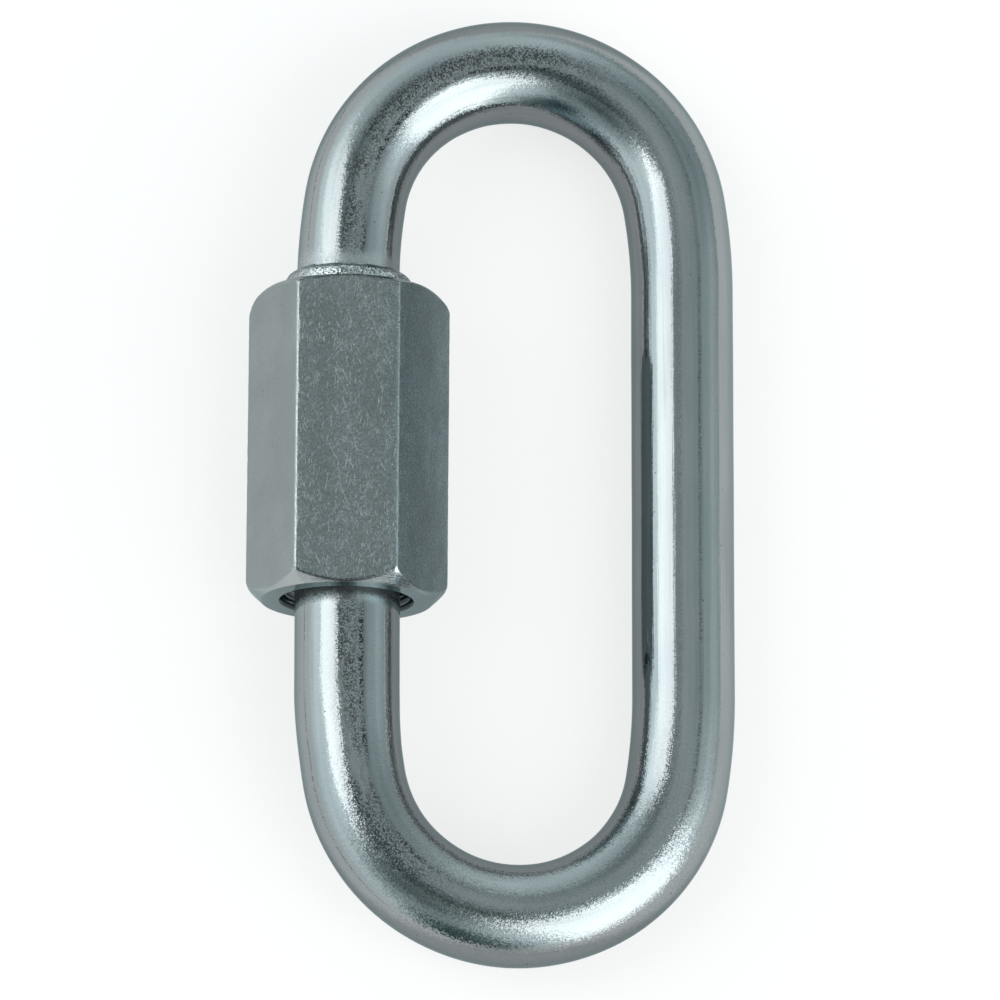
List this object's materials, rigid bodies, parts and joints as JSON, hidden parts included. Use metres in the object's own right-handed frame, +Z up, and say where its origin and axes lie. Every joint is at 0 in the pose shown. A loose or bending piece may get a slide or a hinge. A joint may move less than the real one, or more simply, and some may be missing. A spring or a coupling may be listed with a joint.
{
  "type": "chain quick link",
  "caption": "Oval chain quick link of bent round bar with a long hexagon sleeve nut that screws over the gap in one side to close it.",
  "frame": {"origin": "below the middle of the whole link, on the surface that it lies on", "axes": "+Y along the oval from the nut's lower end towards the collar, +Z up from the surface that it lies on, +X from the nut to the plain arm"},
  "size_m": [0.038, 0.0758, 0.0137],
  "materials": {
    "link_body": "satin zinc plating",
    "sleeve_nut": "satin zinc plating, handled"
  },
  "bodies": {
    "link": {"link_body": "link_body"},
    "nut": {"sleeve_nut": "sleeve_nut"}
  },
  "joints": [
    {"name": "nut_travel", "type": "slide", "parent": "link", "child": "nut", "axis": [0, -1, 0], "range_m": [0, 0.013]}
  ]
}
